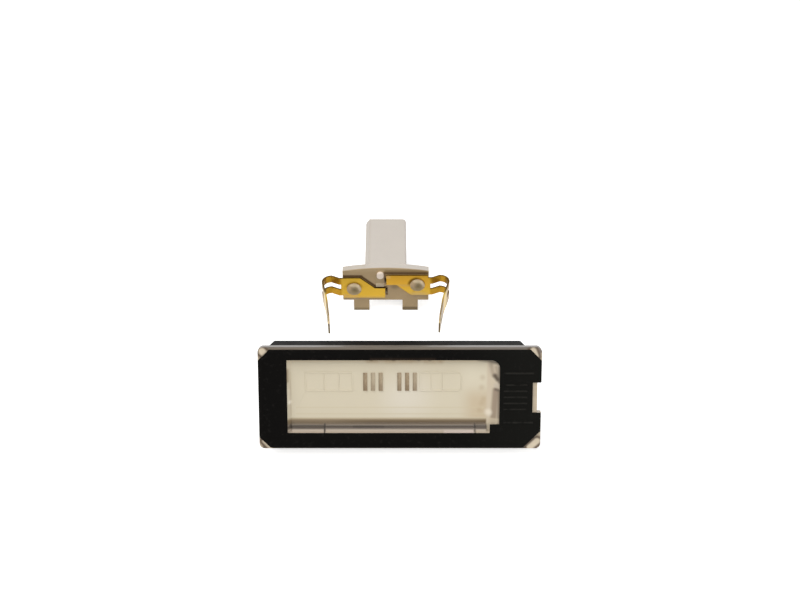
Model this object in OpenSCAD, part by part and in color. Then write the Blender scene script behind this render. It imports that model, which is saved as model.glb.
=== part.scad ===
// Number plate lamp with its bulb holder drawn out behind it.
// The lens and housing lie on the flat lower wall of the housing, so the lens leans back.
// x runs along the lamp, y away from the lens side, z up; z = 0 is the surface it lies on.

/* [Lens] */
// Width of the lens flange
flange_w = 89.5; // [84:0.5:104]
// Height of the lens flange
flange_h = 33.4; // [31:0.1:38]
// Thickness of the lens flange
flange_t = 2.4; // [2.2:0.1:3.2]
// Corner radius of the lens flange
flange_r = 1.7; // [0.4:0.1:3]
// How far the lens leans back from upright
lean = 34; // [30:1:38]
// Depth of the window recess in the lens
recess_d = 1.5; // [0.8:0.1:1.6]
// Width of the sloped left end of the window recess
left_slope = 1.2; // [0.4:0.1:2.5]
// Width of the sloped right end of the window recess
right_slope = 4; // [1:0.1:6]
// Width of the sloped upper and lower edges of the window recess
edge_slope = 0.3; // [0.1:0.05:0.8]
// Depth of the wall that stands behind the lens flange
skirt_d = 5; // [3:0.5:5.4]
// Thickness of that wall
skirt_t = 1.2; // [0.8:0.1:1.6]

/* [Window] */
// Flange left edge to the window
win_left = 9.1; // [6:0.1:12]
// Flange right edge to the window
win_right = 13.2; // [11:0.1:18]
// Flange top edge to the window
win_top = 4.1; // [4:0.1:7]
// Flange bottom edge to the window
win_bottom = 5.2; // [4:0.1:7]
// Corner radius at the upper right of the window
win_r = 2.8; // [1:0.1:5]
// Width of the step at the lower right of the window
win_step_w = 3; // [1:0.1:6]
// Height of the step at the lower right of the window
win_step_h = 2.9; // [1:0.1:6]

/* [Relief] */
// Height of the row of cells
cell_h = 6.3; // [4:0.1:8]
// Width of the raised line round a cell
cell_line = 0.35; // [0.2:0.05:0.6]
// How far the cell lines stand out
cell_rise = 0.2; // [0.1:0.05:0.5]
// Window top edge to the row of cells
cell_drop = 4.4; // [2:0.1:6]
// Width of an upright rib
rib_w = 1.3; // [0.8:0.1:1.6]
// Height of an upright rib
rib_h = 5.9; // [4:0.1:8]
// How far an upright rib stands out
rib_rise = 0.4; // [0.2:0.05:0.8]
// Spacing of the upright ribs in a group
rib_pitch = 2.45; // [2.2:0.05:3]
// Distance between the middles of the two rib groups
rib_group_gap = 10.8; // [10:0.1:14]
// Height of the raised rail along the window's lower edge
rail_h = 2.8; // [2.4:0.1:4]
// Window bottom edge to the groove in the rail
rail_foot = 1.4; // [0.8:0.1:1.6]
// Width of the groove in the rail
rail_groove = 0.8; // [0.4:0.1:0.9]
// Width of the cuts that split the rail
rail_cut = 0.4; // [0.2:0.1:0.8]
// How far the rail stands out
rail_rise = 0.8; // [0.4:0.1:1.2]

/* [Frame] */
// Thickness of the black frame
frame_t = 0.8; // [0.5:0.1:1.5]
// Lens edge left bare above the frame
bare_top = 0.8; // [0.3:0.1:1.8]
// Lens edge left bare below the frame
bare_bottom = 0.5; // [0.2:0.1:1.5]
// Lens edge left bare at each end of the frame
bare_side = 0.1; // [0:0.05:1]
// Leg of the frame's cut corners
corner_cut = 3.5; // [1.5:0.1:6]
// Leg of the larger cut corner at the lower right
corner_cut_big = 5.5; // [3:0.1:9]
// Height of the release notch in the right edge
notch_h = 10; // [5:0.1:12]
// Depth of the notch in the frame
notch_frame_d = 2.8; // [1.5:0.1:4.5]
// Depth of the notch in the lens flange
notch_lens_d = 1.3; // [0.8:0.1:2.5]
// Width of the ribbed field beside the window
field_w = 9.5; // [5:0.5:10]
// How far the ribs of the field stand out
field_rise = 0.25; // [0.1:0.05:0.6]

/* [Housing] */
// Wall thickness of the housing
wall = 1.5; // [1:0.1:1.8]
// Height of the rim that backs the lens
rim_h = 32.4; // [31:0.1:33]
// Distance from the lens front to the back of the rim
rim_back = 10; // [9.5:0.1:13]
// Lens flange overhang at the left end of the rim
overhang_left = 3.1; // [3:0.1:6]
// Lens flange overhang at the right end of the rim
overhang_right = 4.8; // [4.6:0.1:8]
// How much each rim end tapers towards the back
rim_taper = 1.4; // [0:0.1:3]
// Thickness of the fixed hook at the left end
hook_t = 1.8; // [1:0.1:2.5]
// Gap that the hook and the lens flange leave for the car's panel
panel_gap = 2.5; // [1:0.1:3]
// Length of the fixed hook along the left end
hook_l = 10; // [6:0.5:14]

/* [Reflector] */
// Thickness of the reflector shell
liner_t = 0.8; // [0.6:0.1:1.2]
// Clearance round the reflector
liner_gap = 0.2; // [0.1:0.05:0.4]

/* [Spring clip] */
// Thickness of the spring steel
clip_t = 0.5; // [0.3:0.1:0.8]
// Width of the clip
clip_w = 7; // [5:0.5:7.5]
// How far the clip springs out from its pad
clip_reach = 2.7; // [1.5:0.1:3]

/* [Bulb holder] */
// Middle of the holder, left of the middle of the lens
hold_left = 4.9; // [3:0.1:8]
// Width of the holder flange
hold_w = 29.8; // [28:0.1:34]
// Height of the holder flange in its middle
hold_h = 14.3; // [13.8:0.1:15.6]
// Thickness of the holder flange
hold_t = 2.6; // [2:0.1:3.5]
// Bottom edge of the holder flange to the middle of the contacts
plate_rise = 6.45; // [6.4:0.05:7.2]
// Rise of the arched edge of the holder flange
arch_rise = 1.4; // [0.5:0.1:2.5]
// Width of a foot
foot_w = 5.4; // [3:0.1:7]
// Length of a foot
foot_l = 4.7; // [3:0.1:6]
// Distance between the middles of the feet
foot_gap = 17; // [12:0.1:20]
// Width of the connector shroud
shroud_w = 14.3; // [13:0.1:16]
// Height of the connector shroud
shroud_h = 13.1; // [12.6:0.1:13.6]
// Length of the connector shroud
shroud_l = 25; // [18:0.1:27]
// Wall thickness of the connector shroud
shroud_wall = 1.3; // [0.8:0.1:1.4]
// Thickness of the floor of the connector shroud
shroud_floor = 1.5; // [1:0.1:3]
// Distance from the lens middle back to the holder flange
pull_out = 56.5; // [52:0.5:70]
// Upward tilt of the holder as it lies on its feet and nose
hold_tilt = 6; // [4:0.5:8]

/* [Contacts] */
// Thickness of the brass sheet
sheet_t = 0.6; // [0.4:0.05:0.8]
// Width of a contact plate
plate_h = 8.8; // [7.8:0.1:9]
// How far each plate stands off the middle of the pair
plate_shift = 0.6; // [0:0.1:0.8]
// Gap between the two inner tongues of the plates
tongue_gap = 1.4; // [0.8:0.1:1.8]
// Span over the two contact arms
arm_span = 44.1; // [42:0.1:48]
// How much the left arm leans in from its shoulder to its tip
arm_lean = 2.9; // [1:0.1:4.5]
// How much the right arm leans in, bent further by use
arm_lean_right = 3.6; // [1:0.1:4.5]
// Reach of the arms in front of the holder flange
arm_reach = 22; // [18:0.1:25]
// Width of an arm
arm_w = 7.6; // [6:0.1:8]
// Width of an arm's tip
tip_w = 5.4; // [3.5:0.1:6]
// Width of the slot in an arm's shoulder
slot_w = 2.2; // [1:0.1:3]
// Bend radius of an arm's shoulder
arm_bend = 3; // [2:0.1:3.6]
// Diameter of the hole that seats the bulb cap
seat_d = 2.6; // [2:0.1:3.4]
// Arm tip to the middle of that hole
seat_back = 3.4; // [3:0.1:6]
// Diameter of a rivet head
rivet_d = 5.1; // [4:0.1:6]
// Height of a rivet head over the brass
rivet_rise = 0.9; // [0.5:0.1:2]
// Dimple in the middle of a rivet head
rivet_dimple = 2; // [1:0.1:3]
// Diameter of a rivet shank
shank_d = 3; // [2:0.1:3.6]
// Width of a terminal blade
blade_w = 2.6; // [2:0.1:2.7]
// Length of a terminal blade behind the holder flange
blade_l = 14; // [8:0.5:17]
// Diameter of the pip beside the plates
pip_d = 2.4; // [1:0.1:2.6]
// Height of the pip
pip_rise = 1.2; // [0.5:0.1:2]
// Length of the ledge between the pip and the lower plate
ledge_l = 2.8; // [1:0.1:3.2]
// Height of the ledge
ledge_rise = 0.9; // [0.4:0.1:1.5]

/* [Fits] */
// Clearance of a sliding fit
fit = 0.3; // [0.15:0.05:0.4]
// Clearance of a close fit
close_fit = 0.1; // [0.05:0.05:0.15]

/* [Hidden] */
$fn = 48;
eps = 0.01;
over = 1;

// Lens plane, with u up the lens and w out of its front
rim_u = rim_h / 2;
unit_z = rim_u * cos(lean) + rim_back * sin(lean);
function u_at(z, w) = (z - unit_z - w * sin(lean)) / cos(lean);
function w_at(z, u) = (z - unit_z - u * cos(lean)) / sin(lean);

// Ends of the window and of the rim
win_x0 = win_left - flange_w / 2;
win_x1 = flange_w / 2 - win_right;
win_u0 = win_bottom - flange_h / 2;
win_u1 = flange_h / 2 - win_top;
rim_x0 = overhang_left - flange_w / 2;
rim_x1 = flange_w / 2 - overhang_right;

// Frame edges
frame_x = flange_w / 2 - bare_side;
frame_u0 = bare_bottom - flange_h / 2;
frame_u1 = flange_h / 2 - bare_top;
notch_u = 0.3;

// Ribbed field: gap to the window, pitch and width of its short ribs, and its long ribs
field_gap = 1.2;
field_pitch = 2;
field_rib = 0.5;
field_short = 2;
field_edge = 0.6;
field_edge_u = 8.1;

// Row of cells and ribs
rib_mid = -3.1;
cell_u = win_u1 - cell_drop - cell_h / 2;
cells_left = [-30.1, -24.2, -19.5, -15.2];
cells_right = [6.3, 9.7, 13.1, 19.3];
rail_split = [-23.8, 23.7];
cell_end_r = 1.6;

// Height of the contacts and arms on the holder flange
plate_v = plate_rise - hold_h / 2;
arm_v = -0.2;

// Hook: how far its tip and its ribs stay inside the end of the flange
hook_in = 0.8;
hook_rib_in = 1.6;

// Housing chamber, lying level behind the lens
hold_x = -hold_left;
chamber_h = hold_h + 2 * fit + 2 * wall;
axis_z = wall + fit + hold_h / 2;
lens_back = -flange_t - over;
slot_z = axis_z + plate_v;
tip_u = u_at(slot_z + arm_v + tip_w / 2, lens_back);
lens_y = tip_u * sin(lean) - lens_back * cos(lean);
seat_in = lens_y + fit + arm_reach - wall;
seat_out = seat_in + wall;
rear_y = seat_out + hold_t;
slot_x = arm_span / 2 + 2 * fit;
slot_u = plate_h / 2 + plate_shift + close_fit + fit;

// Whole lamp, centred on the origin
hold_z = (hold_h / 2 + foot_l) * cos(hold_tilt) + hold_t * sin(hold_tilt);
front_y = min(frame_u0 * sin(lean) - frame_t * cos(lean), -flange_h / 2 * sin(lean));
back_y = pull_out + (hold_t + shroud_l) * cos(hold_tilt) + hold_h / 2 * sin(hold_tilt);
unit_y = -(front_y + back_y) / 2;

// Shroud: its cut corners, its rounded end and the locking nose under it
shroud_chamfer = 1.3;
shroud_cut = 0.8;
shroud_edge = 0.5;
shroud_end_r = 1.4;
nose_w = 6;
nose_l = 8;
nose_tip = 1.6;
nose_root = 0.5;
shroud_v = hold_h / 2 - shroud_h / 2;
nose_drop = (hold_z - (hold_t + shroud_l) * sin(hold_tilt)) / cos(hold_tilt);

// Contacts
rivet_in = 3.9;
rivet_x = hold_w / 2 - rivet_in;
rivet_v = -0.9;
// Profile of a rivet head: in from its rim, and share of its height
rivet_head = [[0, 0.4], [0.3, 0.75], [0.8, 1]];
rivet_hollow = 0.7;
plate_end = hold_w / 2 - 0.2;
// Slope of a plate down to its tongue, and the tongue's end short of the middle
slope_x0 = -8.8;
slope_x1 = -3.8;
tongue_x = -0.2;
// Straight run of an arm beside its plate, and where its slot starts and ends
arm_run = 1.4;
slot_start = 0.8;
slot_down = 2.4;
// Bow of an arm, as shares of its reach and of its lean
arm_bow = [[0.17, 0.1], [0.27, 0.25], [0.38, 0.44], [0.5, 0.6], [0.65, 0.73], [0.82, 0.89], [1, 1]];
wide_reach = 0.35 * arm_reach;
blade_v = -tongue_gap / 2 - fit - blade_w;
tip_cut = 1;
arm_back = 1;
blade_room = 0.7;

// Pip and ledge on the holder flange
pip_x = -1.9;
pip_v = 4.5;
ledge_h = 0.8;
ledge_v = plate_v + tongue_gap / 2 - ledge_h / 2;
ledge_x = -sheet_t - ledge_l;

// Pad and peg that carry the spring clip, and the bends of the clip
pad_out = 0.3;
peg_over = 0.4;
clip_drop = 0.6;
clip_bend = 0.8;
clip_turn = 340;
clip_lip = 1.4;
pad_x = rim_x1 + pad_out;
clip_mid_w = -(flange_t + rim_back) / 2;
peg_r = 1.1;

function arc(cx, cy, r, a0, a1, n) = [
    for (i = [0:n]) let (a = a0 + (a1 - a0) * i / n) [cx + r * cos(a), cy + r * sin(a)]
];
function unit_of(v) = v / norm(v);
function normal_of(v) = [-v[1], v[0]];
function side_of(p, i, d) = let (
    a = i == 0 ? p[1] - p[0] : p[i] - p[i - 1],
    b = i == len(p) - 1 ? a : p[i + 1] - p[i],
    m = normal_of(unit_of(unit_of(a) + unit_of(b)))
) p[i] + m * d / (m * normal_of(unit_of(a)));
function strip(p, t) = concat(
    [for (i = [0:len(p) - 1]) side_of(p, i, t / 2)],
    [for (i = [len(p) - 1:-1:0]) side_of(p, i, -t / 2)]
);
function plate_point(u, w) = [u * sin(lean) - w * cos(lean), unit_z + u * cos(lean) + w * sin(lean)];

module on_unit() {
    translate([0, unit_y, 0]) children();
}

module on_plate() {
    on_unit() translate([0, 0, unit_z]) rotate([90 - lean, 0, 0]) children();
}

module on_holder() {
    translate([hold_x, unit_y + pull_out, hold_z]) rotate([90 - hold_tilt, 0, 0]) children();
}

// Extrudes a y-z outline along x between two ends
module along_x(x0, x1) {
    translate([x0, 0, 0]) rotate([90, 0, 90]) linear_extrude(x1 - x0) children();
}

// Extrudes an x-z outline along y, centred
module along_y(l) {
    rotate([90, 0, 0]) linear_extrude(l, center = true) children();
}

module box_between(a, b) {
    translate(a) cube(b - a);
}

module rounded_rect(x, y, r) {
    square([x - 2 * r, y], center = true);
    square([x, y - 2 * r], center = true);
    for (i = [-1, 1], j = [-1, 1]) {
        translate([i * (x / 2 - r), j * (y / 2 - r)]) circle(r);
    }
}

// Lens

module notch_cut(depth, from, to) {
    box_between([flange_w / 2 - depth, notch_u - notch_h / 2, from],
                [flange_w / 2 + over, notch_u + notch_h / 2, to]);
}

// Recess behind the window, with a slope at each end
module window_pocket() {
    intersection() {
        along_y(flange_h) polygon([
            [win_x0, over], [win_x0, 0], [win_x0 + left_slope, -recess_d],
            [win_x1 - right_slope, -recess_d], [win_x1, 0], [win_x1, over]
        ]);
        along_x(-flange_w, flange_w) polygon([
            [win_u0, over], [win_u0, 0], [win_u0 + edge_slope, -recess_d],
            [win_u1 - edge_slope, -recess_d], [win_u1, 0], [win_u1, over]
        ]);
    }
}

module cell(x0, x1, r) {
    difference() {
        translate([(x0 + x1) / 2, cell_u]) rounded_rect(x1 - x0, cell_h, r);
        translate([(x0 + x1) / 2, cell_u])
            rounded_rect(x1 - x0 - 2 * cell_line, cell_h - 2 * cell_line, r / 2);
    }
}

module relief() {
    last = len(cells_left) - 1;
    translate([0, 0, -recess_d - eps]) {
        linear_extrude(cell_rise + eps) {
            for (i = [0:last - 1]) {
                cell(cells_left[i], cells_left[i + 1] + cell_line, cell_line);
                cell(cells_right[i], cells_right[i + 1] + cell_line, i == last - 1 ? cell_end_r : cell_line);
            }
        }
        for (g = [-1, 1], k = [-1:1]) {
            translate([rib_mid + g * rib_group_gap / 2 + k * rib_pitch - rib_w / 2, cell_u - rib_h / 2, 0])
                cube([rib_w, rib_h, rib_rise + eps]);
        }
    }
}

module rail() {
    x0 = win_x0 + left_slope;
    x1 = win_x1 - right_slope;
    u1 = win_u0 + rail_h;
    difference() {
        box_between([x0, win_u0, -recess_d - eps], [x1, u1, -recess_d + rail_rise]);
        for (x = rail_split) {
            box_between([x - rail_cut / 2, win_u0 - over, -recess_d], [x + rail_cut / 2, u1 + over, over]);
        }
        box_between([x0 - over, win_u0 + rail_foot, -recess_d + rail_rise / 2],
                    [x1 + over, win_u0 + rail_foot + rail_groove, over]);
    }
}

module skirt() {
    x0 = rim_x0 + rim_taper + wall + close_fit;
    x1 = rim_x1 - rim_taper - wall - close_fit;
    u = rim_u - wall - close_fit;
    difference() {
        box_between([x0, -u, -flange_t - skirt_d], [x1, u, -flange_t + eps]);
        box_between([x0 + skirt_t, -u + skirt_t, -flange_t - skirt_d - over],
                    [x1 - skirt_t, u - skirt_t, -flange_t]);
    }
}

module lens() {
    color([0.84, 0.8, 0.7]) on_plate() {
        difference() {
            translate([0, 0, -flange_t]) linear_extrude(flange_t)
                rounded_rect(flange_w, flange_h, flange_r);
            window_pocket();
            notch_cut(notch_lens_d, -flange_t - over, over);
        }
        relief();
        rail();
        skirt();
    }
}

// Black frame on the front of the lens

module frame_outline() {
    polygon([
        [-frame_x, frame_u0 + corner_cut],
        [-frame_x + corner_cut, frame_u0],
        [frame_x - corner_cut_big, frame_u0],
        [frame_x, frame_u0 + corner_cut_big],
        [frame_x, frame_u1 - corner_cut],
        [frame_x - corner_cut, frame_u1],
        [-frame_x + corner_cut, frame_u1],
        [-frame_x, frame_u1 - corner_cut]
    ]);
}

module window_outline() {
    difference() {
        union() {
            translate([win_x0, win_u0]) square([win_x1 - win_x0 - win_r, win_u1 - win_u0]);
            translate([win_x0, win_u0]) square([win_x1 - win_x0, win_u1 - win_u0 - win_r]);
            translate([win_x1 - win_r, win_u1 - win_r]) circle(win_r);
        }
        translate([win_x1 - win_step_w, win_u0 - over]) square([win_step_w + over, win_step_h + over]);
    }
}

module ribbed_field() {
    translate([win_x1 + field_gap, 0, frame_t - eps]) {
        for (k = [-2:2]) {
            translate([0, notch_u + k * field_pitch, 0])
                cube([field_w - field_short, field_rib, field_rise + eps]);
        }
        for (s = [-1, 1]) {
            translate([0, notch_u + s * field_edge_u - field_edge / 2, 0])
                cube([field_w, field_edge, field_rise + eps]);
        }
    }
}

module seal_frame() {
    color([0.08, 0.07, 0.07]) on_plate() {
        difference() {
            linear_extrude(frame_t) difference() {
                frame_outline();
                window_outline();
            }
            notch_cut(notch_frame_d, -over, frame_t + over);
        }
        ribbed_field();
    }
}

// Housing

// Room of the level chamber, inset from its outer faces
module chamber(inset, front_w, end_y) {
    low_u = inset - rim_u;
    top_u = u_at(chamber_h - inset, front_w);
    front = rim_back * cos(lean) - rim_u * sin(lean);
    intersection() {
        along_x(-flange_w, flange_w) polygon([
            plate_point(low_u, front_w),
            plate_point(top_u, front_w),
            [end_y, chamber_h - inset],
            [end_y, inset],
            plate_point(low_u, w_at(inset, low_u))
        ]);
        linear_extrude(2 * unit_z) polygon([
            [rim_x0 + rim_taper + inset, -rim_u],
            [rim_x1 - rim_taper - inset, -rim_u],
            [rim_x1 - rim_taper - inset, front + wall],
            [hold_x + slot_x + 2 * wall - inset, rear_y],
            [hold_x - slot_x - 2 * wall + inset, rear_y],
            [rim_x0 + rim_taper + inset, front + wall]
        ]);
    }
}

module rim() {
    along_y(rim_h) polygon([
        [rim_x0, -flange_t],
        [rim_x0 + rim_taper, -rim_back],
        [rim_x1 - rim_taper, -rim_back],
        [rim_x1, -flange_t]
    ]);
}

module rim_room() {
    box_between([rim_x0 + rim_taper + wall, wall - rim_u, wall - rim_back],
                [rim_x1 - rim_taper - wall, rim_u - wall, over - flange_t]);
}

// Hook that goes behind the edge of the car's panel
module fixed_hook() {
    back = -flange_t - panel_gap;
    box_between([hook_in - flange_w / 2, -hook_l / 2, back - hook_t],
                [rim_x0 + rim_taper + eps, hook_l / 2, back]);
    for (u = [-hook_l / 2, hook_l / 2 - wall]) {
        translate([0, u + wall, 0]) rotate([90, 0, 0]) linear_extrude(wall) polygon([
            [hook_rib_in - flange_w / 2, back - hook_t + eps],
            [rim_x0 + rim_taper + eps, back - hook_t + eps],
            [rim_x0 + rim_taper + eps, -rim_back]
        ]);
    }
}

// Pad and peg that carry the spring clip
module clip_pad() {
    box_between([rim_x1 - rim_taper - wall / 2, notch_u - clip_w / 2, -rim_back],
                [pad_x, notch_u + clip_w / 2, -flange_t]);
    translate([pad_x - eps, notch_u, clip_mid_w]) rotate([0, 90, 0])
        cylinder(h = clip_t + peg_over + eps, r = peg_r);
}

// Seat for the bulb holder in the rear of the chamber
module holder_cuts() {
    translate([hold_x, 0, slot_z])
        box_between([-slot_x, seat_in - over, -slot_u], [slot_x, rear_y + over, slot_u]);
    translate([hold_x, 0, axis_z]) {
        translate([0, seat_out, 0]) rotate([90, 0, 0]) mirror([0, 0, 1])
            linear_extrude(hold_t + over) flange_outline(fit);
        for (s = [-1, 1]) {
            translate([s * foot_gap / 2 - foot_w / 2 - fit, seat_out, -axis_z - over])
                cube([foot_w + 2 * fit, hold_t + over, axis_z]);
        }
        box_between([ledge_x - fit, seat_in - over, 0],
                    [pip_x + pip_d, seat_out + eps, pip_v + pip_d / 2 + fit]);
    }
}

module housing() {
    color([0.1, 0.1, 0.1]) {
        difference() {
            union() {
                on_plate() {
                    rim();
                    clip_pad();
                    fixed_hook();
                }
                on_unit() chamber(0, wall - rim_back, rear_y);
            }
            on_plate() rim_room();
            on_unit() {
                chamber(wall, wall - rim_back + over, seat_in);
                holder_cuts();
            }
        }
    }
}

// Ivory reflector shell inside the housing
module reflector() {
    out = wall + liner_gap;
    inn = out + liner_t;
    plate_back = wall - rim_back + liner_gap;
    color([0.9, 0.86, 0.76]) difference() {
        union() {
            on_plate() box_between(
                [rim_x0 + rim_taper + out, out - rim_u, plate_back],
                [rim_x1 - rim_taper - out, rim_u - out, plate_back + liner_t]);
            on_unit() chamber(out, plate_back + eps, seat_in - liner_gap);
        }
        on_unit() {
            chamber(inn, plate_back + liner_t + over, seat_in - liner_gap - liner_t);
            translate([hold_x, 0, slot_z])
                box_between([-slot_x, seat_in - 3 * over, -slot_u], [slot_x, seat_in + over, slot_u]);
        }
    }
}

// Spring steel catch at the right end
module spring_clip() {
    x = pad_x + clip_t / 2;
    path = concat(
        [[x, -flange_t - clip_drop]],
        arc(x + clip_bend, clip_bend - rim_back, clip_bend, 180, clip_turn, 8),
        [[pad_x + clip_reach, clip_mid_w + clip_drop], [pad_x + clip_reach - clip_lip, -flange_t - clip_drop]]
    );
    color([0.62, 0.62, 0.6]) on_plate() difference() {
        translate([0, notch_u, 0]) along_y(clip_w) polygon(strip(path, clip_t));
        translate([pad_x - over, notch_u, clip_mid_w]) rotate([0, 90, 0])
            cylinder(h = over + clip_t + over, r = peg_r + close_fit);
    }
}

// Bulb holder

// Outline of the holder flange, with its arched edge up
module flange_outline(extra) {
    r = (pow(hold_w / 2, 2) + pow(arch_rise, 2)) / (2 * arch_rise);
    intersection() {
        translate([-hold_w / 2 - extra, -hold_h / 2 - extra])
            square([hold_w + 2 * extra, hold_h + 2 * extra]);
        translate([0, hold_h / 2 - r]) circle(r + extra, $fn = 180);
    }
}

module shroud() {
    end = -hold_t - shroud_l;
    x = shroud_w / 2;
    v0 = shroud_v - shroud_h / 2;
    v1 = shroud_v + shroud_h / 2;
    difference() {
        intersection() {
            translate([0, 0, end]) linear_extrude(shroud_l + eps) polygon([
                [-x + shroud_cut, v0], [x - shroud_cut, v0], [x, v0 + shroud_cut],
                [x, v1 - shroud_edge], [x - shroud_edge, v1],
                [-x + shroud_chamfer, v1], [-x, v1 - shroud_chamfer], [-x, v0 + shroud_cut]
            ]);
            along_y(4 * shroud_h) translate([0, (end + over) / 2])
                rounded_rect(shroud_w, over - end, shroud_end_r);
        }
        translate([0, 0, end - over]) linear_extrude(shroud_l - shroud_floor + over)
            translate([0, shroud_v])
                square([shroud_w - 2 * shroud_wall, shroud_h - 2 * shroud_wall], center = true);
    }
}

// Locking nose under the end of the shroud, which it rests on
module nose() {
    end = -hold_t - shroud_l;
    v = shroud_v - shroud_h / 2;
    along_x(-nose_w / 2, nose_w / 2) polygon([
        [v + nose_root, end],
        [-nose_drop, end],
        [-nose_drop, end + nose_tip],
        [v + nose_root, end + nose_l]
    ]);
}

module rivet() {
    rotate_extrude() polygon(concat(
        [[0, -eps], [shank_d / 2, -eps], [shank_d / 2, sheet_t], [rivet_d / 2, sheet_t]],
        [for (p = rivet_head) [rivet_d / 2 - p[0], sheet_t + rivet_rise * p[1]]],
        [[rivet_dimple / 2, sheet_t + rivet_rise], [0, sheet_t + rivet_rise * rivet_hollow]]
    ));
}

// Slot that a terminal blade drops through
module blade_slot() {
    translate([tongue_x - sheet_t - close_fit, blade_v - close_fit, -hold_t - shroud_floor - over])
        cube([sheet_t + blade_room + close_fit, blade_w + 2 * close_fit, hold_t + shroud_floor + 2 * over]);
}

module pair() {
    translate([0, plate_v, 0]) children();
    translate([0, plate_v, 0]) rotate([0, 0, 180]) children();
}

module holder_body() {
    color([0.83, 0.8, 0.76]) on_holder() {
        difference() {
            union() {
                translate([0, 0, -hold_t]) linear_extrude(hold_t) flange_outline(0);
                shroud();
            }
            pair() blade_slot();
        }
        nose();
        for (s = [-1, 1]) {
            translate([s * foot_gap / 2 - foot_w / 2, -hold_h / 2 - foot_l, -hold_t])
                cube([foot_w, foot_l + eps, hold_t]);
        }
        pair() translate([-rivet_x, rivet_v, 0]) rivet();
        translate([pip_x, pip_v, -eps]) cylinder(h = pip_rise + eps, d = pip_d);
        translate([ledge_x, ledge_v, -eps]) cube([ledge_l, ledge_h, ledge_rise + eps]);
    }
}

// One brass stamping: plate, slotted spring arm and terminal blade
module contact(lean_in) {
    top = plate_h / 2 - plate_shift;
    low = -plate_h / 2 - plate_shift;
    mid = -tongue_gap / 2;
    arm_x = arm_span / 2 - sheet_t / 2;
    mid_n = sheet_t / 2;
    path = concat(
        [[-plate_end, mid_n], [-plate_end - arm_run, mid_n]],
        arc(-arm_x + arm_bend, arm_bend - arm_back, arm_bend, 270, 180, 8),
        [for (b = arm_bow) [b[1] * lean_in - arm_x, b[0] * arm_reach]]
    );
    difference() {
        union() {
            linear_extrude(sheet_t) polygon([
                [-plate_end, top], [slope_x0, top], [slope_x1, mid],
                [tongue_x, mid], [tongue_x, low], [-plate_end, low]
            ]);
            intersection() {
                translate([0, arm_v, 0]) along_y(arm_w) polygon(strip(path, sheet_t));
                along_x(-arm_span, 0) translate([arm_v, 0]) polygon([
                    [-arm_w / 2, -hold_t], [arm_w / 2, -hold_t],
                    [arm_w / 2, wide_reach], [tip_w / 2, arm_reach - tip_cut],
                    [tip_w / 2 - tip_cut, arm_reach + over], [tip_cut - tip_w / 2, arm_reach + over],
                    [-tip_w / 2, arm_reach - tip_cut], [-arm_w / 2, wide_reach]
                ]);
            }
            translate([tongue_x - sheet_t, blade_v, -hold_t - blade_l])
                cube([sheet_t, blade_w, hold_t + blade_l + sheet_t / 2]);
        }
        translate([-rivet_x, rivet_v, -over]) cylinder(h = sheet_t + 2 * over, d = shank_d + 2 * close_fit);
        box_between([-arm_span, arm_v - slot_w / 2, -hold_t],
                    [-plate_end - slot_start, arm_v + slot_w / 2, arm_bend + slot_down]);
        translate([-arm_span, arm_v, arm_reach - seat_back]) rotate([0, 90, 0])
            cylinder(h = arm_span, d = seat_d);
    }
}

module contact_left() {
    color([0.8, 0.64, 0.24]) on_holder() translate([0, plate_v, 0]) contact(arm_lean);
}

module contact_right() {
    color([0.8, 0.64, 0.24]) on_holder() translate([0, plate_v, 0]) rotate([0, 0, 180])
        contact(arm_lean_right);
}

lens();
seal_frame();
housing();
reflector();
spring_clip();
holder_body();
contact_left();
contact_right();
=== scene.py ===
"""Number plate lamp with its bulb holder drawn out behind it."""

import math

import bmesh
import bpy
from bpy.props import FloatProperty, FloatVectorProperty, PointerProperty
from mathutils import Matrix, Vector


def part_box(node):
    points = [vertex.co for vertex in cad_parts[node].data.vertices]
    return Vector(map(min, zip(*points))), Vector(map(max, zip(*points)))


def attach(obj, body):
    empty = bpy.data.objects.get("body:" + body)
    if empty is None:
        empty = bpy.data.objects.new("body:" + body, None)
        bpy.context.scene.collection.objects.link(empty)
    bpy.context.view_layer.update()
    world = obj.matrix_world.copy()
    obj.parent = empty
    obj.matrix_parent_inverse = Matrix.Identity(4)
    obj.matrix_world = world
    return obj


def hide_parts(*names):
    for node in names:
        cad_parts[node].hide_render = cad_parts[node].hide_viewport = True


bl_info = {
    "name": "Number plate lamp",
    "version": (1, 0, 0),
    "blender": (4, 5, 0),
    "location": "3D View > Sidebar > Lamp",
    "description": "Finishes a number plate lamp and its bulb holder",
    "category": "Add Mesh",
}

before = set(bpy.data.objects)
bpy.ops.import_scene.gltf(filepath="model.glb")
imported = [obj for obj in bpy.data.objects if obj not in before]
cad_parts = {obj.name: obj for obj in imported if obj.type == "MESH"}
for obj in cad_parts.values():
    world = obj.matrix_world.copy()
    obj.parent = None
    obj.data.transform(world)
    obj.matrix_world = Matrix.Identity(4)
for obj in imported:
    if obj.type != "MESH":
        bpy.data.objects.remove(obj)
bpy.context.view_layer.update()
MM = 0.001

# Lens plane: it leans back by LEAN, with its middle at LENS_MIDDLE
LEAN = math.radians(34)
LENS_H = 33.4 * MM
LENS_LOW, LENS_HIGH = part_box("lens")
LENS_MIDDLE = Vector((
    (LENS_LOW.x + LENS_HIGH.x) / 2,
    LENS_LOW.y + LENS_H / 2 * math.sin(LEAN),
    LENS_HIGH.z - LENS_H / 2 * math.cos(LEAN),
))
LENS_UP = Vector((0, math.sin(LEAN), math.cos(LEAN)))
LENS_OUT = Vector((0, -math.cos(LEAN), math.sin(LEAN)))

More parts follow.
